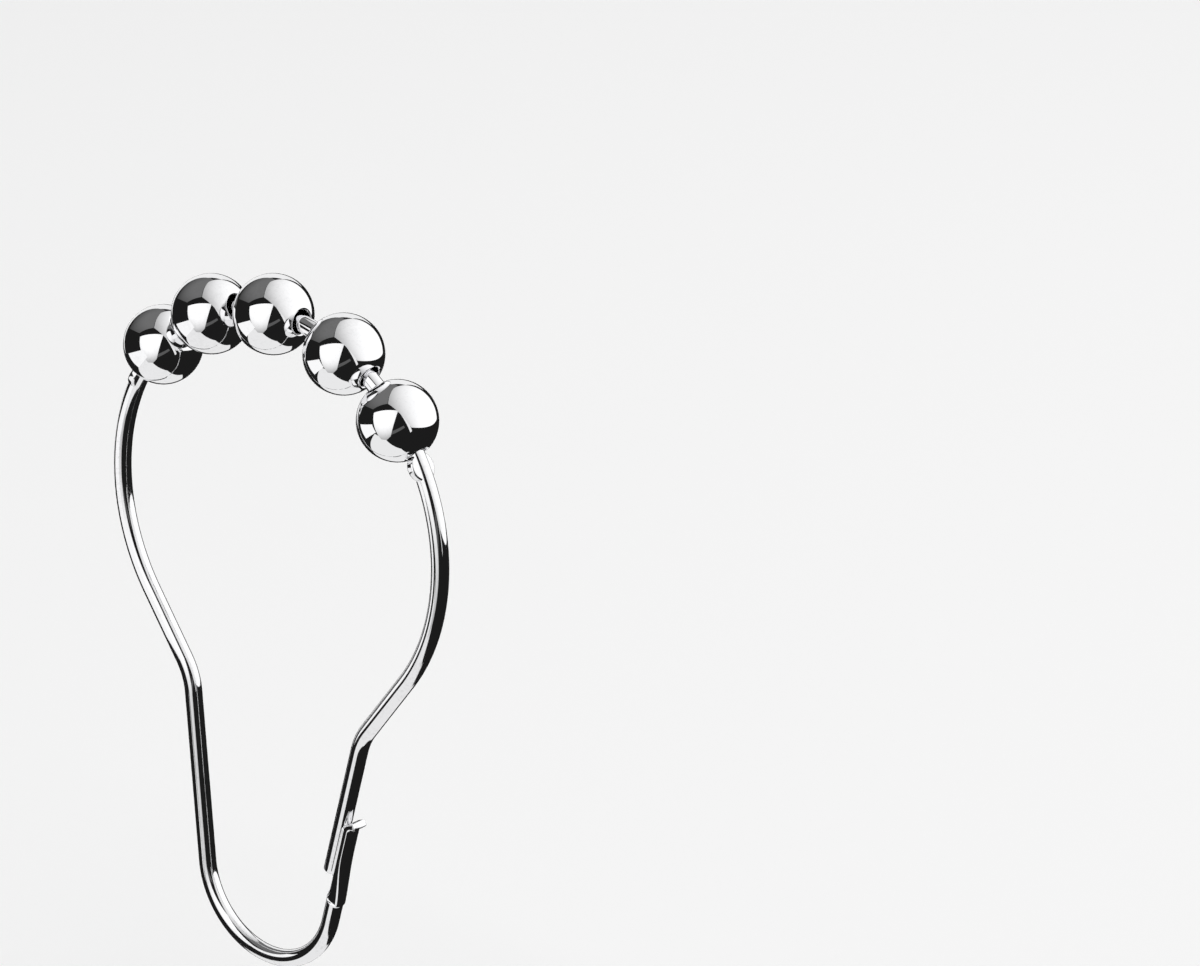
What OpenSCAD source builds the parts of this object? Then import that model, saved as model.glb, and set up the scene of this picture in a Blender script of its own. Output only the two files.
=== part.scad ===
// Shower curtain hook: one bent spring wire with five roller balls threaded on its upper ring.
// The ring's middle is the origin, X points to the clasp, Y square to the ring, Z up.

/* [Wire] */
// Diameter of the round wire
wire_d = 2.0; // [1.6:0.1:2.4]
// Radius of the upper ring, to the middle of the wire
ring_r = 24.0; // [20:0.5:30]
// Angle from the top of the ring to where each side leaves it
ring_side_angle = 126; // [120:1:135]
// Length of the straight stretch from the ring to each waist bend
shoulder_len = 10.8; // [9:0.1:13]
// Radius of the waist bends, to the middle of the wire
waist_bend_r = 8.0; // [4:0.5:8]

/* [Curtain loop] */
// Radius of the lower loop, to the middle of the wire
loop_r = 9.8; // [8:0.1:11]
// Depth of the loop's middle below the middle of the ring
loop_drop = 44.5; // [42:0.1:55]

/* [Clasp] */
// Angle between the straight arm and the vertical
arm_lean = 13.6; // [10:0.2:15]
// Distance of the plate's middle outwards from the middle of the arm
clasp_offset = 1.35; // [1.2:0.05:1.6]
// Thickness of the pressed plate that ends the loop
plate_t = 0.7; // [0.5:0.05:0.9]
// Width of the pressed plate
plate_w = 2.2; // [2:0.1:2.6]
// Distance from the waist bend down to the straight top of the plate
plate_top = 11.5; // [10:0.1:12]
// Length of the plate, from the root of its lip to its rounded foot
plate_len = 10.3; // [9:0.1:11]
// How much the radius of the foot exceeds half the width of the plate
foot_ease = 0.2; // [0.1:0.05:0.5]
// Length over which the wire tapers into the plate
press_taper = 1.6; // [1:0.1:2]
// Radius at which the plate's lip curls outwards, to the middle of its thickness
lip_r = 0.9; // [0.6:0.1:1.4]
// Angle through which the lip curls
lip_angle = 60; // [40:1:85]
// Length of the lip's flat end
lip_len = 0.6; // [0.2:0.1:1]
// Thickness of the lip at its tip
lip_t = 0.9; // [0.9:0.1:1.2]
// Length of the arm's tongue, which lies behind the plate
tongue_lap = 6.6; // [4:0.1:8]
// Gap between the tongue and the plate
clasp_gap = 0.15; // [0.1:0.05:0.3]
// Width of the chamfer round the tongue's tip
tip_chamfer = 0.25; // [0.1:0.05:0.4]

/* [Roller balls] */
// Diameter of each ball
ball_d = 9.0; // [8:0.1:10]
// Diameter of the hole through each ball
ball_bore_d = 2.7; // [2.6:0.05:3.2]
// Width of the chamfer round each end of the hole
bore_chamfer = 0.2; // [0.1:0.05:0.4]
// Gaps between neighbouring balls, from the back of the ring to the front
ball_gaps = [0.2, 0.6, 1.6, 0.7]; // [0.1:0.1:2]

/* [Stops] */
// Diameter of the flat ears that keep the balls on the ring
ear_d = 3.4; // [3.4:0.1:4.2]
// Thickness of the ears
ear_t = 1.0; // [0.8:0.1:1.4]
// Radius round the rim of the ears
ear_edge_r = 0.3; // [0.1:0.05:0.35]
// Gap between each ear and the end of its ball
ear_gap = 0.3; // [0.2:0.1:0.5]

/* [Hidden] */
$fn = 96;
wire_r = wire_d / 2;
ball_r = ball_d / 2;
bore_r = ball_bore_d / 2;
ear_r = ear_d / 2;
// Size of the blocks that trim the pressed ends, larger than the ends
trim = 10;
// Beads a hair thicker than the wire join its stretches, which stop just short of their middles
bead_rise = 0.01;
bead_gap = 0.02;

// Points and directions in the plane of the hook are [x, z]
function length2(v) = sqrt(v.x * v.x + v.y * v.y);
function on_circle(middle, r, angle) = middle + r * [cos(angle), sin(angle)];
function angle_of(v) = atan2(v.y, v.x);

// Angle at which a line from a point touches a circle, on the side that side gives
function touch_angle(from, middle, r, side) =
    angle_of(from - middle) + side * acos(r / length2(from - middle));

// Ring and waist
ring_mid = [0, 0];
ring_end_angle = 90 - ring_side_angle;
ring_end = on_circle(ring_mid, ring_r, ring_end_angle);
waist = ring_end + shoulder_len * [sin(ring_end_angle), -cos(ring_end_angle)];
waist_back = [-waist.x, waist.y];

// Loop: its front side touches the line of the plate, which runs beside the arm
plate_out = [cos(arm_lean), -sin(arm_lean)];
loop_mid = [(waist * plate_out + clasp_offset - loop_r + loop_drop * plate_out.y) / plate_out.x,
            -loop_drop];
front_touch = -arm_lean;
back_touch = touch_angle(waist_back, loop_mid, loop_r, 1);
front_foot = on_circle(loop_mid, loop_r, front_touch);
back_foot = on_circle(loop_mid, loop_r, back_touch);
foot_down = (front_foot - waist) * [-plate_out.y, plate_out.x] * -1;

// The waist's bends turn each shoulder into its leg
front_turn = front_touch - ring_end_angle;
back_turn = (180 - back_touch) - ring_end_angle;

// Clasp, measured down the arm from the waist
plate_foot = plate_top + plate_len;
tongue_end = plate_top + tongue_lap;
tongue_face = clasp_offset - plate_t / 2 - clasp_gap;
foot_r = plate_w / 2 + foot_ease;
lip_height = lip_r * sin(lip_angle) + lip_len * cos(lip_angle) + lip_t / 2 * sin(lip_angle);
arm_flat = plate_top - min(lip_height, lip_r / 2);
loop_flat = plate_foot - press_taper / 2;

// Balls: the hole is straight and the wire is bent, so each ball's middle lies inside the ring
hole_len = 2 * sqrt(ball_r * ball_r - bore_r * bore_r);
wire_rise = ring_r - sqrt(ring_r * ring_r - hole_len * hole_len / 4);
ball_ring_r = ring_r - wire_rise / 2;
function ball_step(i) = 2 * asin((ball_d + ball_gaps[i]) / (2 * ball_ring_r));
ball_span = ball_step(0) + ball_step(1) + ball_step(2) + ball_step(3);
function ball_angle(i) = i == 0 ? -ball_span / 2 : ball_angle(i - 1) + ball_step(i - 1);
ear_reach = sqrt(ear_r * ear_r - bore_r * bore_r);
ear_angle = ball_span / 2 + 2 * asin((hole_len / 2 + ear_gap + ear_reach) / (2 * ring_r));

module at(point) {
    translate([point.x, 0, point.y]) children();
}

// Wire bent round a circle in the plane of the hook
module bent(middle, r, from, turn) {
    at(middle) rotate([90, 0, 0]) rotate([0, 0, from])
        rotate_extrude(angle = turn) translate([r, 0]) circle(d = wire_d);
}

// Straight wire between two beads
module straight(from, to) {
    at(from) rotate([0, 90 - angle_of(to - from), 0]) translate([0, 0, bead_gap])
        cylinder(d = wire_d, h = length2(to - from) - 2 * bead_gap);
}

// Bead where two stretches of the wire meet
module bead(point) {
    at(point) sphere(r = wire_r + bead_rise);
}

// Ring position: angle from the top towards the clasp, with Z along the ring's radius
module on_ring(angle, r) {
    rotate([0, angle, 0]) translate([0, 0, r]) children();
}

// Arm: the waist is at zero, the arm runs down Z and X points outwards
module on_arm() {
    at(waist) rotate([0, arm_lean, 0]) children();
}

// Plate: the same, with X at zero in the middle of its thickness
module on_plate() {
    on_arm() translate([clasp_offset, 0, 0]) children();
}

// Points where a waist bend begins and ends, either side of its corner
function bend_reach(turn) = waist_bend_r * tan(turn / 2);
function bend_start(turn) = waist + bend_reach(turn) * (ring_end - waist) / shoulder_len;
function bend_end(turn, foot) =
    waist + bend_reach(turn) * (foot - waist) / length2(foot - waist);

// Side of the hook from the ring to the leg, with the waist bend, for a point on the leg's line
module waist_side(turn, foot) {
    start = bend_start(turn);
    bead(ring_end);
    straight(ring_end, start);
    bead(start);
    bent(start + waist_bend_r * [cos(ring_end_angle), sin(ring_end_angle)], waist_bend_r,
         180 + ring_end_angle, turn);
    bead(bend_end(turn, foot));
}

// Ring with an ear at each end of the row of balls
module ring() {
    bent(ring_mid, ring_r, ring_end_angle, 2 * ring_side_angle);
    for (side = [-1, 1]) on_ring(side * ear_angle, ring_r) ear();
}

// Ear, a flat disc with a rounded rim that the wire runs through
module ear() {
    cylinder(r = ear_r - ear_edge_r, h = ear_t, center = true);
    cylinder(r = ear_r, h = ear_t - 2 * ear_edge_r, center = true);
    for (side = [-1, 1]) translate([0, 0, side * (ear_t / 2 - ear_edge_r)])
        rotate_extrude() translate([ear_r - ear_edge_r, 0]) circle(r = ear_edge_r);
}

// Plate that ends the loop, with its lip curled outwards
module plate() {
    intersection() {
        rotate([90, 0, 0]) linear_extrude(plate_w, center = true) plate_profile();
        rotate([0, 90, 0]) linear_extrude(trim, center = true) foot_outline();
    }
}

// Side view of the plate, with its height along Y
module plate_profile() {
    translate([-plate_t / 2, -plate_foot]) square([plate_t, plate_len]);
    translate([lip_r, -plate_top]) {
        intersection() {
            difference() {
                circle(r = lip_r + plate_t / 2);
                circle(r = lip_r - plate_t / 2);
            }
            polygon([[0, 0], [-trim, 0], trim * [-cos(lip_angle), sin(lip_angle)]]);
        }
        rotate(-lip_angle) translate([-lip_r, 0]) polygon([[-plate_t / 2, 0], [plate_t / 2, 0],
            [lip_t / 2, lip_len], [-lip_t / 2, lip_len]]);
    }
}

// Front view of the block that rounds the plate's foot, with its height along X
module foot_outline() {
    translate([plate_foot - foot_r, 0]) {
        circle(r = foot_r);
        translate([-plate_foot, -trim / 2]) square([plate_foot, trim]);
    }
}

// Wire from the loop up into the plate, pressed thinner on both sides
module loop_end() {
    intersection() {
        translate([0, 0, bead_gap - foot_down])
            cylinder(d = wire_d, h = foot_down - bead_gap - loop_flat);
        rotate([90, 0, 0]) linear_extrude(trim, center = true) for (side = [0, 1])
            mirror([side, 0]) polygon([[-bead_gap, -loop_flat], [plate_t / 4, -loop_flat],
                [wire_r + bead_rise, -loop_flat - press_taper],
                [wire_r + bead_rise, -foot_down], [-bead_gap, -foot_down]]);
    }
}

// Arm from the waist down to its tongue, whose outer side is pressed flat behind the plate
module arm() {
    difference() {
        rotate_extrude() polygon([[0, -tongue_end], [wire_r - tip_chamfer, -tongue_end],
            [wire_r, -tongue_end + tip_chamfer], [wire_r, -bend_reach(front_turn) - bead_gap],
            [0, -bend_reach(front_turn) - bead_gap]]);
        rotate([90, 0, 0]) linear_extrude(trim, center = true)
            polygon([[tongue_face, -tongue_end - trim], [tongue_face, -arm_flat],
                [tongue_face + trim, trim - arm_flat], [tongue_face + trim, -tongue_end - trim]]);
    }
}

module wire() color("gainsboro") {
    ring();
    waist_side(front_turn, waist + [plate_out.y, -plate_out.x]);
    mirror([1, 0, 0]) waist_side(back_turn, [-back_foot.x, back_foot.y]);
    mirror([1, 0, 0]) straight(bend_end(back_turn, [-back_foot.x, back_foot.y]),
                               [-back_foot.x, back_foot.y]);
    bead(back_foot);
    bent(loop_mid, loop_r, back_touch, 360 + front_touch - back_touch);
    bead(front_foot);
    on_arm() arm();
    on_plate() {
        plate();
        loop_end();
    }
}

// Ball with a chamfered hole along the ring
module roller_ball(i) color("silver")
    on_ring(ball_angle(i), ball_ring_r) rotate([0, 90, 0]) difference() {
        sphere(d = ball_d);
        cylinder(d = ball_bore_d, h = ball_d + trim, center = true);
        for (end = [0, 180]) rotate([end, 0, 0])
            translate([0, 0, hole_len / 2 - bore_chamfer])
                cylinder(r1 = bore_r, r2 = bore_r + 2 * bore_chamfer, h = 2 * bore_chamfer);
    }

module roller_ball_1() roller_ball(0);
module roller_ball_2() roller_ball(1);
module roller_ball_3() roller_ball(2);
module roller_ball_4() roller_ball(3);
module roller_ball_5() roller_ball(4);

wire();
roller_ball_1();
roller_ball_2();
roller_ball_3();
roller_ball_4();
roller_ball_5();
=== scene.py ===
# %% [markdown]
# # A shower curtain hook in polished chrome
#
# The hook is one bent spring wire with five roller balls threaded on its upper ring. The
# construction model is already packed, so it is loaded first as a fixed frame, and each
# piece made here takes its place, rides on the same body and keeps the same size.
# Every length below is given in millimetres and multiplied by `mm`, because Blender
# works in metres.

# %% Load the frame
import math

import bmesh
import bpy
from mathutils import Matrix, Vector


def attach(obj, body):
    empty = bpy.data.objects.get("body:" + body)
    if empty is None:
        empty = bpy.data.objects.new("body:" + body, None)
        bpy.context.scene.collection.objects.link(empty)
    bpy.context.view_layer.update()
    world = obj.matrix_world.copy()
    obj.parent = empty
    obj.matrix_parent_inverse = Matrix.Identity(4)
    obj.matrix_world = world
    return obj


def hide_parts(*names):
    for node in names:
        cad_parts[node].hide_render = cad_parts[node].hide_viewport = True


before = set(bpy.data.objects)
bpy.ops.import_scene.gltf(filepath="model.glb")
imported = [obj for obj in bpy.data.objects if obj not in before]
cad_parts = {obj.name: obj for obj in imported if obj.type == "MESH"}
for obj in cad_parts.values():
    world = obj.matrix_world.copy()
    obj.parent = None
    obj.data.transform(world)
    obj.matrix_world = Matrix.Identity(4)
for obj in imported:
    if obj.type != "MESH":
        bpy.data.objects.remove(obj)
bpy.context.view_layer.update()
mm = 0.001
print("nodes:", ", ".join(sorted(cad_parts)))

# %% [markdown]
# ## The camera
#
# A photograph's view has three parts: where the camera stands, which way it looks, and how
# long its lens is. The camera here stands half a metre away, 21 degrees above the hook, and
# 39 degrees round from straight on. The lens is long, as for product photographs, so the
# hook is hardly distorted. Blender's camera looks along its own -Z with +Y up, so its three
# axes are built as the columns of a matrix.

# %% Camera
camera_place = Vector((333.8, -360.5, 195.9)) * mm
look_round, look_down, look_roll = (math.radians(a) for a in (51.37, 21.24, 1.89))
photo_size = (1200, 966)
photo_focal = 4750

backwards = Vector((math.cos(look_down) * math.cos(look_round),
                    -math.cos(look_down) * math.sin(look_round), math.sin(look_down)))
level = Vector((0, 0, 1)).cross(backwards).normalized()
rightwards = Matrix.Rotation(look_roll, 3, backwards) @ level
upwards = backwards.cross(rightwards)

lens = bpy.data.cameras.new("photo_camera")
lens.sensor_width = 36
lens.lens = photo_focal / photo_size[0] * lens.sensor_width
lens.clip_start, lens.clip_end = 0.01, 20
camera = bpy.data.objects.new("photo_camera", lens)
camera.matrix_world = (Matrix.Translation(camera_place)
                       @ Matrix((rightwards, upwards, backwards)).transposed().to_4x4())
bpy.context.scene.collection.objects.link(camera)
bpy.context.scene.camera = camera
print("lens:", round(lens.lens, 1), "mm")

# %% [markdown]
# ## The shape of the wire
#
# A wire bender knows a hook as a list of straights and bends, and so does this script. The
# ring leaves its circle at 126 degrees from the top, runs straight to the waist, turns
# round a soft bend and goes down. At the back it runs round the lower loop and comes up
# again beside the front arm, where its flattened end is the clasp's plate. The points and
# angles are worked out from the few sizes that a maker would measure.

# %% Sizes of the wire
wire_r = 1.0 * mm
ring_r = 24.0 * mm
ring_side = math.radians(126)
shoulder_len = 10.8 * mm
waist_bend_r = 8.0 * mm
loop_r = 9.8 * mm
loop_drop = 44.5 * mm
arm_lean = math.radians(13.6)
clasp_offset = 1.35 * mm
plate_t, plate_w, plate_top, plate_len = 0.7 * mm, 2.2 * mm, 11.5 * mm, 10.3 * mm
lip_r, lip_angle, lip_len, lip_t = 0.9 * mm, math.radians(60), 0.6 * mm, 0.9 * mm
plate_foot = plate_top + plate_len
tongue_end, tongue_face, step_top = plate_top + 6.6 * mm, 0.85 * mm, plate_top - lip_r / 2


def heading(turned):
    """Direction of a wire that left the top of the ring level and has turned so far."""
    return Vector((math.cos(turned), 0, -math.sin(turned)))


def off_side(turned):
    """Direction square to that, away from the middle of the ring."""
    return Vector((math.sin(turned), 0, math.cos(turned)))


arm_turned = math.pi / 2 + arm_lean
ring_end = ring_r * off_side(ring_side)
waist = ring_end + shoulder_len * heading(ring_side)
plate_out = Vector((math.cos(arm_lean), 0, -math.sin(arm_lean)))

loop_x = (waist.dot(plate_out) + clasp_offset - loop_r + loop_drop * plate_out.z) / plate_out.x
loop_mid = Vector((loop_x, 0, -loop_drop))
to_waist = Vector((-waist.x, 0, waist.z)) - loop_mid
back_touch = math.atan2(to_waist.z, to_waist.x) + math.acos(loop_r / to_waist.length)
back_foot = loop_mid + loop_r * Vector((math.cos(back_touch), 0, math.sin(back_touch)))
front_foot = loop_mid + loop_r * plate_out
print("waist:", [round(c / mm, 2) for c in waist], "loop:", [round(c / mm, 2) for c in loop_mid])

# %% [markdown]
# ## Two moves that bend a wire
#
# `bmesh.ops.spin` sweeps a loop of edges round an axis, which is just what a bending die
# does. `bmesh.ops.extrude_edge_only` pulls the same loop straight on. Each helper hands back
# the edges at the new end, so the moves chain, and the wire stays one clean tube of quads
# with no joint to hide. The other way, a curve with a bevel, gives less control where the
# wire is pressed flat.

# %% Bend and pull
wire_sides = 64
bend_step = math.radians(1.0)
loop_step, curl_step = math.radians(1.5), math.radians(3)
pull_step, fine_step, lip_step = 0.6 * mm, 0.07 * mm, 0.1 * mm


def end_edges(geometry):
    verts = {v for v in geometry if isinstance(v, bmesh.types.BMVert)}
    edges = [e for e in geometry if isinstance(e, bmesh.types.BMEdge)
             and e.verts[0] in verts and e.verts[1] in verts]
    return edges, verts


def bend(bm, edges, middle, angle, step=bend_step):
    """Sweep the open end round a line along Y through the middle."""
    start = list({v for e in edges for v in e.verts})
    swept = bmesh.ops.spin(bm, geom=start + edges, cent=middle, axis=(0, 1, 0), angle=angle,
                           steps=max(2, round(abs(angle) / step)), use_merge=False)
    return end_edges(swept["geom_last"])[0]


def pull(bm, edges, along, length, step=pull_step):
    """Pull the open end straight on by a length."""
    count = max(1, round(length / step))
    for _ in range(count):
        grown = bmesh.ops.extrude_edge_only(bm, edges=edges)
        edges, verts = end_edges(grown["geom"])
        bmesh.ops.translate(bm, verts=list(verts), vec=along * (length / count))
    return edges


# %% [markdown]
# ## The front half: ring, shoulder and arm
#
# The tube starts as a circle at the top of the ring. The spin to the front ends where the
# shoulder begins. The waist bend turns the other way, about a middle outside the hook, and
# its straight neighbours stop short of the corner by the bend's tangent length. The arm then
# runs down in short steps, because its lower end is pressed to a tongue in a moment.

# %% Front half of the wire
bm = bmesh.new()
across_ring = Matrix.Translation((0, 0, ring_r)) @ Matrix.Rotation(math.pi / 2, 4, "Y")
bmesh.ops.create_circle(bm, segments=wire_sides, radius=wire_r, matrix=across_ring)
top_edges = list(bm.edges)


def corner(turn):
    return waist_bend_r * math.tan(turn / 2)


front_turn = ring_side - arm_turned
end = bend(bm, top_edges, (0, 0, 0), ring_side)
end = pull(bm, end, heading(ring_side), shoulder_len - corner(front_turn))
bend_start = waist - corner(front_turn) * heading(ring_side)
end = bend(bm, end, bend_start + waist_bend_r * off_side(ring_side), -front_turn)
end = pull(bm, end, heading(arm_turned), step_top - wire_r - corner(front_turn))
end = pull(bm, end, heading(arm_turned), 1.5 * wire_r, fine_step)
tongue_edges = pull(bm, end, heading(arm_turned), tongue_end - step_top - wire_r / 2)
print("front half:", len(bm.verts), "points")

# %% [markdown]
# ## The back half: ring, leg, loop and up to the clasp
#
# The back half is made with the same moves from the same first circle, turned the other
# way. Past the loop, the steps become short again, for the plate that is pressed there.

# %% Back half of the wire
mirror_x = Matrix.Diagonal((-1, 1, 1))


def mirrored(v):
    return mirror_x @ v


leg_down = (back_foot - mirrored(waist)).normalized()
back_turn = math.acos(max(-1, min(1, leg_down.dot(mirrored(heading(ring_side))))))
end = bend(bm, top_edges, (0, 0, 0), -ring_side)
end = pull(bm, end, mirrored(heading(ring_side)), shoulder_len - corner(back_turn))
bend_start = mirrored(waist) - corner(back_turn) * mirrored(heading(ring_side))
end = bend(bm, end, bend_start + waist_bend_r * mirrored(off_side(ring_side)), back_turn)
leg_len = (back_foot - mirrored(waist)).length - corner(back_turn)
end = pull(bm, end, leg_down, leg_len)
end = bend(bm, end, loop_mid, -(2 * math.pi - arm_lean - back_touch), loop_step)

plate_up = heading(arm_turned) * -1
foot_down = (front_foot - waist).dot(heading(arm_turned))
end = pull(bm, end, plate_up, foot_down - plate_foot - wire_r)
end = pull(bm, end, plate_up, 4 * wire_r, fine_step)
plate_edges = pull(bm, end, plate_up, plate_len - 3 * wire_r)
print("whole wire:", len(bm.verts), "points")

# %% [markdown]
# ## Pressing the wire
#
# The plate and the tongue aren't separate pieces: a press flattens the round wire, and the
# metal moves sideways. So the points are moved here as a press moves metal. Each point of
# the plate keeps its angle round the wire, and its section changes from a circle to a
# flatter, squarer one. A superellipse does both at once: exponent 2 is a circle or an
# ellipse, and a larger exponent has flatter faces and tighter edges.


# %% Press helpers
def ramp(x):
    x = max(0.0, min(1.0, x))
    return x * x * (3 - 2 * x)


def blend(a, b, k):
    return a + (b - a) * k


def pressed(c, s, half_thick, half_wide, square):
    """Point of a flattened section, for the cosine and sine of its angle on the round wire."""
    power = 2 / square
    return (math.copysign(abs(c) ** power, c) * half_thick,
            math.copysign(abs(s) ** power, s) * half_wide)


on_arm = Matrix.Translation(waist) @ Matrix.Rotation(arm_lean, 4, "Y")
on_plate = on_arm @ Matrix.Translation((clasp_offset, 0, 0))

# %% [markdown]
# ### Plate and tongue
#
# The plate's foot is a step whose edge climbs in an arc from the outer side to the inner
# one. The outer side runs on from the wire and thins towards the lip. So the section is the
# wire's circle below the foot, a thick box just above it, and a flat one at the top. The
# tongue is pressed on its outer side only, from a short slope beside the lip, so that it
# lies behind the plate with a hair of room.

# %% Press the plate and the tongue
foot_r, foot_wall, taper_len = 1.3 * mm, 0.25 * mm, 7.0 * mm
foot_inner, foot_half_wide = 0.6 * mm, 0.8 * mm
round_section, plate_section = 2, 7
near_wire, hair = wire_r * 1.01, 0.001 * mm
to_plate, to_arm = on_plate.inverted(), on_arm.inverted()
touched = 0

for v in bm.verts:
    p = to_plate @ v.co
    if math.hypot(p.x, p.y) < near_wire and -foot_down <= p.z <= -plate_top + hair:
        c, s = p.x / wire_r, p.y / wire_r
        inwards = min(1.0, (1 - c) / 2)
        arc = foot_r * (1 - math.sqrt(1 - inwards ** 2))
        k = ramp((p.z + plate_foot - arc) / foot_wall)
        thinned = ramp((p.z + plate_foot) / taper_len)
        thick = blend(wire_r if c > 0 else foot_inner, plate_t / 2, thinned)
        wide = blend(foot_half_wide, plate_w / 2, thinned)
        x, y = pressed(c, s, blend(wire_r, thick, k), blend(wire_r, wide, k),
                       blend(round_section, plate_section, k))
        v.co = on_plate @ Vector((x, y, p.z))
        touched += k > 0
    p = to_arm @ v.co
    if math.hypot(p.x, p.y) < near_wire and -tongue_end - hair <= p.z < -step_top + wire_r:
        if abs((to_plate @ v.co).x) > plate_t and p.x > tongue_face:
            p.x = min(p.x, tongue_face + max(0.0, p.z + step_top))
            v.co = on_arm @ p
            touched += 1
print("pressed points:", touched)

# %% [markdown]
# ### Balls' places and ears
#
# Two flat ears just outside the first and the last ball keep the balls on top of the ring.
# The hole of a ball is straight and the wire in it is bent, so each ball's middle lies a
# little inside the ring. An ear is a disc with a rounded rim that the wire runs through, and
# only its two sides show. It is added to the wire's own mesh, because it is the same metal.

# %% Balls' places and ears
ball_r, bore_r = 4.5 * mm, 1.35 * mm
ball_gaps = [g * mm for g in (0.2, 0.6, 1.6, 0.7)]
hole_len = 2 * math.sqrt(ball_r ** 2 - bore_r ** 2)
wire_rise = ring_r - math.sqrt(ring_r ** 2 - hole_len ** 2 / 4)
ball_ring_r = ring_r - wire_rise / 2
steps = [2 * math.asin((2 * ball_r + gap) / (2 * ball_ring_r)) for gap in ball_gaps]
ball_angles = [-sum(steps) / 2 + sum(steps[:i]) for i in range(len(steps) + 1)]

ear_r, ear_t, ear_edge_r, ear_gap = 1.7 * mm, 1.0 * mm, 0.3 * mm, 0.3 * mm
ear_reach = math.sqrt(ear_r ** 2 - bore_r ** 2)
ear_angle = sum(steps) / 2 + 2 * math.asin((hole_len / 2 + ear_gap + ear_reach) / (2 * ring_r))


def on_ring(angle, radius):
    return Matrix.Rotation(angle, 4, "Y") @ Matrix.Translation((0, 0, radius))


for angle in (-ear_angle, ear_angle):
    ear = bmesh.ops.create_cone(bm, cap_ends=True, segments=96, radius1=ear_r, radius2=ear_r,
                                depth=ear_t, matrix=on_ring(angle, ring_r))["verts"]
    rims = [e for f in {f for v in ear for f in v.link_faces} if len(f.verts) > 4
            for e in f.edges]
    bmesh.ops.bevel(bm, geom=rims, offset=ear_edge_r, segments=6, profile=0.5,
                    affect="EDGES", material=-1)
print("balls at", [round(math.degrees(a), 1) for a in ball_angles], "ears at",
      round(math.degrees(ear_angle), 1), "degrees")

# %% [markdown]
# ### Lip and ends
#
# The pressed end goes on into the lip: the flat section is swept round a short curl, then
# pulled a little further, and thickens towards its tip. Both open ends are closed with a
# face, and their rims get a small bevel, because a sheared and tumbled edge is never sharp.

# %% Lip and ends
lip_rim, tongue_rim = 0.12 * mm, 0.25 * mm
end = bend(bm, plate_edges, on_plate @ Vector((lip_r, 0, -plate_top)), lip_angle, curl_step)
lip_way = on_plate.to_3x3() @ Vector((math.sin(lip_angle), 0, math.cos(lip_angle)))
lip_edges = pull(bm, end, lip_way, lip_len, lip_step)
lip_face = on_plate.to_3x3() @ Vector((-math.cos(lip_angle), 0, math.sin(lip_angle)))
lip_root = on_plate @ Vector((lip_r * (1 - math.cos(lip_angle)), 0,
                              lip_r * math.sin(lip_angle) - plate_top))
for v in bm.verts:
    along = (v.co - lip_root).dot(lip_way)
    off = (v.co - lip_root).dot(lip_face)
    if 0 < along < 2 * lip_len and abs(off) < plate_t:
        v.co += lip_face * off * (lip_t / plate_t - 1) * along / lip_len
for edges, rim in ((lip_edges, lip_rim), (tongue_edges, tongue_rim)):
    bmesh.ops.contextual_create(bm, geom=edges)
    bmesh.ops.bevel(bm, geom=edges, offset=rim, segments=4, profile=0.5, affect="EDGES",
                    material=-1)
bmesh.ops.recalc_face_normals(bm, faces=bm.faces)


def finish_piece(bm, name, body, nodes):
    """Turn a bmesh into an object that stands for its CAD nodes and rides on their body."""
    mesh = bpy.data.meshes.new(name)
    bm.to_mesh(mesh)
    bm.free()
    mesh.shade_smooth()
    piece = bpy.data.objects.new(name, mesh)
    bpy.context.scene.collection.objects.link(piece)
    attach(piece, body)
    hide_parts(*nodes)
    print(name, len(mesh.polygons), "faces")
    return piece


wire = finish_piece(bm, "bent_wire", "hook", ["wire"])

# %% [markdown]
# ## Roller balls
#
# A drilled ball is a turned shape, so its outline is spun round the hole. The outline is
# spun too: one point swept about the ball's middle draws the arc from one end of the hole to
# the other. The open rims are then pulled in for the chamfer, and bridged for the hole.

# %% Roller balls
bore_chamfer, chamfer_depth, hole_edge = 0.2 * mm, 0.12 * mm, 0.06 * mm
sharp = math.radians(25)
ball_sides, arc_steps = 96, 72


def roller_ball(name, angle, body):
    bm = bmesh.new()
    rim_angle = math.asin((bore_r + bore_chamfer) / ball_r)
    first = bmesh.ops.create_vert(bm, co=(ball_r * math.cos(rim_angle), 0,
                                          ball_r * math.sin(rim_angle)))["vert"]
    arc = bmesh.ops.spin(bm, geom=first, cent=(0, 0, 0), axis=(0, -1, 0),
                         angle=math.pi - 2 * rim_angle, steps=arc_steps, use_merge=False)
    bmesh.ops.spin(bm, geom=bm.verts[:] + bm.edges[:], cent=(0, 0, 0), axis=(1, 0, 0),
                   angle=2 * math.pi, steps=ball_sides, use_merge=True)
    bmesh.ops.remove_doubles(bm, verts=bm.verts, dist=1e-7)
    inner_rims = []
    for side in (-1, 1):
        rim = [e for e in bm.edges if e.is_boundary and e.verts[0].co.x * side > 0]
        grown = bmesh.ops.extrude_edge_only(bm, edges=rim)
        edges, verts = end_edges(grown["geom"])
        shrink = bore_r / (bore_r + bore_chamfer)
        bmesh.ops.scale(bm, verts=list(verts), vec=(1, shrink, shrink))
        bmesh.ops.translate(bm, verts=list(verts), vec=(-side * chamfer_depth, 0, 0))
        inner_rims += edges
    bmesh.ops.bridge_loops(bm, edges=inner_rims)
    bmesh.ops.recalc_face_normals(bm, faces=bm.faces)
    hole_rims = [e for e in bm.edges if len(e.link_faces) == 2
                 and e.calc_face_angle(0) > sharp]
    bmesh.ops.bevel(bm, geom=hole_rims, offset=hole_edge, segments=2, profile=0.5,
                    affect="EDGES", material=-1)
    bmesh.ops.transform(bm, matrix=on_ring(angle, ball_ring_r), verts=bm.verts)
    return finish_piece(bm, name, body, [name.replace("polished", "roller")])


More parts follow.
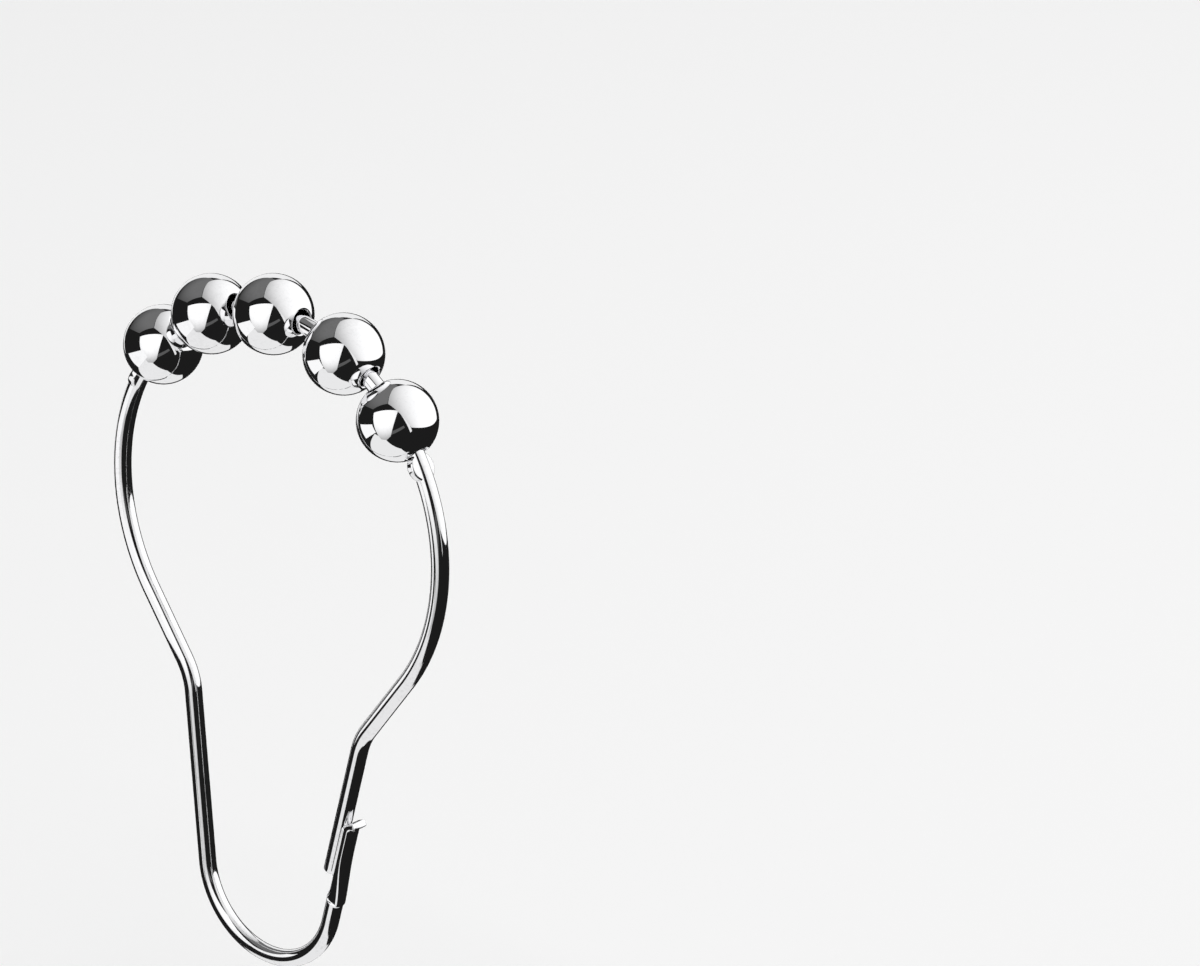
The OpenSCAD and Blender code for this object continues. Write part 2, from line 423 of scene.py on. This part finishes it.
balls = [roller_ball(f"polished_ball_{i + 1}", angle, f"ball_{i + 1}")
         for i, angle in enumerate(ball_angles)]

# %% [markdown]
# ## Chrome
#
# Chrome has hardly any colour of its own: what is seen is the room in it. So its material is
# a plain metal, and the work goes into what breaks a perfect mirror. Two effects are shared
# by both finishes, and are node groups: a film of faint marks from handling, which changes
# the roughness in soft patches, and fine polishing lines, which are a very shallow bump.


# %% Helpers for nodes
def new_group(name, inputs, outputs):
    group = bpy.data.node_groups.new(name, "ShaderNodeTree")
    for in_out, sockets in (("INPUT", inputs), ("OUTPUT", outputs)):
        for label, kind, value in sockets:
            socket = group.interface.new_socket(label, in_out=in_out, socket_type=kind)
            if value is not None:
                socket.default_value = value
    return group, group.nodes.new("NodeGroupInput"), group.nodes.new("NodeGroupOutput")


def add(tree, kind, **values):
    node = tree.nodes.new(kind)
    for key, value in values.items():
        if key in node.inputs:
            node.inputs[key].default_value = value
        else:
            setattr(node, key, value)
    return node


# %% [markdown]
# ### Film of handling marks
#
# Two noises of different size are multiplied, so that the patches have soft middles and
# broken edges. The mask drives a range of roughness, and the range is given by each material.

# %% Handling film
film, film_in, film_out = new_group(
    "handling film",
    [("Vector", "NodeSocketVector", None), ("Patch scale", "NodeSocketFloat", 120.0),
     ("Clean roughness", "NodeSocketFloat", 0.03), ("Marked roughness", "NodeSocketFloat", 0.1)],
    [("Roughness", "NodeSocketFloat", None), ("Marks", "NodeSocketFloat", None)])
patches = add(film, "ShaderNodeTexNoise", Detail=3.0, Roughness=0.55)
specks = add(film, "ShaderNodeTexNoise", Scale=2600.0, Detail=2.0, Roughness=0.6)
mix = add(film, "ShaderNodeMath", operation="MULTIPLY")
rise = add(film, "ShaderNodeMapRange", interpolation_type="SMOOTHSTEP")
rise.inputs["From Min"].default_value = 0.22
rise.inputs["From Max"].default_value = 0.42
spread = add(film, "ShaderNodeMapRange")
film.links.new(film_in.outputs["Vector"], patches.inputs["Vector"])
film.links.new(film_in.outputs["Vector"], specks.inputs["Vector"])
film.links.new(film_in.outputs["Patch scale"], patches.inputs["Scale"])
film.links.new(patches.outputs["Fac"], mix.inputs[0])
film.links.new(specks.outputs["Fac"], mix.inputs[1])
film.links.new(mix.outputs[0], rise.inputs["Value"])
film.links.new(rise.outputs["Result"], spread.inputs["Value"])
film.links.new(film_in.outputs["Clean roughness"], spread.inputs["To Min"])
film.links.new(film_in.outputs["Marked roughness"], spread.inputs["To Max"])
film.links.new(spread.outputs["Result"], film_out.inputs["Roughness"])
film.links.new(rise.outputs["Result"], film_out.inputs["Marks"])

# %% [markdown]
# ### Polishing lines
#
# A noise stretched along one direction reads as fine lines. The stretch is a vector multiply,
# and the lines only give a height: each material sends it to its own Bump.

# %% Polishing lines
lines, lines_in, lines_out = new_group(
    "polishing lines",
    [("Vector", "NodeSocketVector", None), ("Stretch", "NodeSocketVector", (1.0, 1.0, 0.05)),
     ("Scale", "NodeSocketFloat", 9000.0)],
    [("Height", "NodeSocketFloat", None)])
stretch = add(lines, "ShaderNodeVectorMath", operation="MULTIPLY")
grain = add(lines, "ShaderNodeTexNoise", Detail=2.0, Roughness=0.5)
lines.links.new(lines_in.outputs["Vector"], stretch.inputs[0])
lines.links.new(lines_in.outputs["Stretch"], stretch.inputs[1])
lines.links.new(stretch.outputs[0], grain.inputs["Vector"])
lines.links.new(lines_in.outputs["Scale"], grain.inputs["Scale"])
lines.links.new(grain.outputs["Fac"], lines_out.inputs["Height"])

# %% [markdown]
# ### The two finishes
#
# The balls are buffed to a mirror. The wire is drawn and then plated, so it is a trace
# rougher, and its lines run up and down the hook. A very slight mottling of the base colour
# keeps the plating from looking printed.


# %% Chrome finishes
line_depth = 0.002 * mm


def chrome(name, bright, dull, patch_scale, clean, marked, stretch_by, bump):
    mat = bpy.data.materials.new(name)
    mat.use_nodes = True
    tree = mat.node_tree
    shader = tree.nodes["Principled BSDF"]
    shader.inputs["Metallic"].default_value = 1.0
    place = add(tree, "ShaderNodeTexCoord")
    marks = add(tree, "ShaderNodeGroup", node_tree=film)
    marks.inputs["Patch scale"].default_value = patch_scale
    marks.inputs["Clean roughness"].default_value = clean
    marks.inputs["Marked roughness"].default_value = marked
    tree.links.new(place.outputs["Object"], marks.inputs["Vector"])
    tree.links.new(marks.outputs["Roughness"], shader.inputs["Roughness"])
    tint = add(tree, "ShaderNodeMix", data_type="RGBA")
    tint.inputs["A"].default_value = (*bright, 1)
    tint.inputs["B"].default_value = (*dull, 1)
    tree.links.new(marks.outputs["Marks"], tint.inputs["Factor"])
    tree.links.new(tint.outputs["Result"], shader.inputs["Base Color"])
    polish = add(tree, "ShaderNodeGroup", node_tree=lines)
    polish.inputs["Stretch"].default_value = stretch_by
    tree.links.new(place.outputs["Object"], polish.inputs["Vector"])
    relief = add(tree, "ShaderNodeBump", Strength=bump, Distance=line_depth)
    tree.links.new(polish.outputs["Height"], relief.inputs["Height"])
    tree.links.new(relief.outputs["Normal"], shader.inputs["Normal"])
    return mat


wire_chrome = chrome("drawn_wire_chrome", bright=(0.93, 0.93, 0.94), dull=(0.86, 0.86, 0.87),
                     patch_scale=160, clean=0.045, marked=0.12,
                     stretch_by=(1.0, 1.0, 0.04), bump=0.25)
ball_chrome = chrome("mirror_ball_chrome", bright=(0.95, 0.95, 0.96), dull=(0.90, 0.90, 0.91),
                     patch_scale=90, clean=0.02, marked=0.06,
                     stretch_by=(1.0, 1.0, 0.2), bump=0.08)
wire.data.materials.append(wire_chrome)
for ball in balls:
    ball.data.materials.append(ball_chrome)
for name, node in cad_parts.items():
    node.data.materials.clear()
    node.data.materials.append(wire_chrome if name == "wire" else ball_chrome)

# %% [markdown]
# ## A studio for chrome
#
# Chrome is lit by giving it something to mirror, so the room round the hook is as important
# as its shape. Where each thing shows on a ball follows from one rule: the mirrored ray
# leaves at the same angle to the surface as the ray from the camera. Directions here are
# given as seen from the hook: degrees round from the camera towards the right, and degrees
# up in the picture.


# %% Directions from the hook
def way(round_from_camera, up):
    a, e = math.radians(round_from_camera), math.radians(up)
    return (rightwards * math.sin(a) * math.cos(e) + upwards * math.sin(e)
            + backwards * math.cos(a) * math.cos(e))


# %% [markdown]
# ### Panels that only the chrome sees
#
# Each panel is one face between four directions, and glows softly. Only reflections see it:
# the camera, the floor and the shadows don't, so the look of the chrome can be changed
# without changing the rest. A real soft box is brightest near its lamp. Here, the glow
# falls off evenly from the panel's bright spot to a dimmer edge.


# %% Panels
bright_part = 0.3


def panel(name, corners, bright, dim=None, spot=None, reach=1.0, room=1.0, middle=None):
    """A glowing face, bright at the spot and dimmer at a distance of reach from it."""
    middle = middle or Vector((0, 0, 0))
    bm = bmesh.new()
    bmesh.ops.contextual_create(bm, geom=[bm.verts.new(middle + way(*c) * room)
                                          for c in corners])
    mesh = bpy.data.meshes.new(name)
    bm.to_mesh(mesh)
    bm.free()
    obj = bpy.data.objects.new(name, mesh)
    bpy.context.scene.collection.objects.link(obj)
    mat = bpy.data.materials.new(name)
    mat.use_nodes = True
    tree = mat.node_tree
    tree.nodes.remove(tree.nodes["Principled BSDF"])
    glow = add(tree, "ShaderNodeEmission", Strength=bright)
    tree.links.new(glow.outputs[0], tree.nodes["Material Output"].inputs["Surface"])
    if spot:
        place = add(tree, "ShaderNodeTexCoord")
        apart = add(tree, "ShaderNodeVectorMath", operation="DISTANCE")
        apart.inputs[1].default_value = middle + way(*spot) * room
        fall = add(tree, "ShaderNodeMapRange", interpolation_type="SMOOTHSTEP")
        for label, value in (("From Min", bright_part * reach), ("From Max", reach),
                             ("To Min", bright), ("To Max", dim)):
            fall.inputs[label].default_value = value
        tree.links.new(place.outputs["Object"], apart.inputs[0])
        tree.links.new(apart.outputs["Value"], fall.inputs["Value"])
        tree.links.new(fall.outputs["Result"], glow.inputs["Strength"])
    mesh.materials.append(mat)
    obj.visible_camera = obj.visible_diffuse = obj.visible_shadow = False


panel("soft_box", [(-30, 45), (42, -17), (140, 3), (-150, 78)], 1.15, 0.45, (100, 20), 1.5)
panel("edge_strip", [(5, 27), (10, 31), (47, -26), (43, -30)], 0.85)
panel("window", [(-68, 18), (5, 27), (-20, -42), (-58, -55)], 1.1, 0.3, (-35, 10), 1.2)
panel("window_sill", [(-23, -31), (20, -13), (24, -18), (-20, -39)], 0.10)
panel("floor_behind", [(-45, -45), (-72, -29), (-160, -26), (172, -22), (150, -42),
                       (60, -80)], 0.85)
panel("dim_ceiling", [(-32, 45), (-75, 25), (-130, 20), (-165, 48), (165, 75), (-150, 78)],
      0.16, 0.03, (-50, 75), 1.3)
panel("side_card", [(-122, -4), (-72, -8), (-66, -27), (-118, -26)], 1.0, room=0.12,
      middle=on_ring(ball_angles[-1], ball_ring_r).to_translation())
panel("back_card", [(-166, 58), (-147, 24), (-140, -6), (-158, -4), (-163, 14), (-178, 22),
                    (158, 26), (160, 58)], 0.9, room=0.8)

# %% [markdown]
# ### Floor and sky
#
# The floor is plain and pale, and the chrome doesn't mirror it: in its place, the panel
# above shows only the part that gives each ball its pale foot. The rest stays black, which
# draws the thin dark outlines that make chrome read as chrome on a white ground. One large
# lamp above lights the floor, so large that the hook's shadow is hardly there.

# %% Floor, lamp and sky
floor_z, floor_reach = -80 * mm, 4.0
lamp_place, lamp_size, lamp_power = (0.3, 0.3, 2.0), 3.0, 71
bm = bmesh.new()
bmesh.ops.create_grid(bm, x_segments=1, y_segments=1, size=floor_reach,
                      matrix=Matrix.Translation((0, 0, floor_z)))
floor_mesh = bpy.data.meshes.new("floor")
bm.to_mesh(floor_mesh)
bm.free()
floor = bpy.data.objects.new("floor", floor_mesh)
bpy.context.scene.collection.objects.link(floor)
floor_paint = bpy.data.materials.new("floor_paint")
floor_paint.use_nodes = True
paint = floor_paint.node_tree.nodes["Principled BSDF"]
paint.inputs["Base Color"].default_value = (0.93, 0.93, 0.93, 1)
paint.inputs["Roughness"].default_value = 0.8
paint.inputs["Specular IOR Level"].default_value = 0.0
floor_mesh.materials.append(floor_paint)
floor.visible_glossy = False

wash = bpy.data.lights.new("floor_wash", "AREA")
wash.shape = "SQUARE"
wash.size = lamp_size
wash.energy = lamp_power
lamp = bpy.data.objects.new("floor_wash", wash)
lamp.matrix_world = Matrix.Translation(lamp_place)
lamp.visible_camera = lamp.visible_glossy = False
bpy.context.scene.collection.objects.link(lamp)

world = bpy.data.worlds.new("studio")
world.use_nodes = True
tree = world.node_tree
dark = tree.nodes["Background"]
dark.inputs["Color"].default_value = (0.012, 0.012, 0.012, 1)
pale = add(tree, "ShaderNodeBackground", Color=(0.9, 0.9, 0.9, 1))
seen_by = add(tree, "ShaderNodeLightPath")
either = add(tree, "ShaderNodeMixShader")
tree.links.new(seen_by.outputs["Is Camera Ray"], either.inputs[0])
tree.links.new(dark.outputs[0], either.inputs[1])
tree.links.new(pale.outputs[0], either.inputs[2])
tree.links.new(either.outputs[0], tree.nodes["World Output"].inputs["Surface"])
bpy.context.scene.world = world
bpy.context.scene.view_settings.view_transform = "Standard"
print("panels and lamp are up")
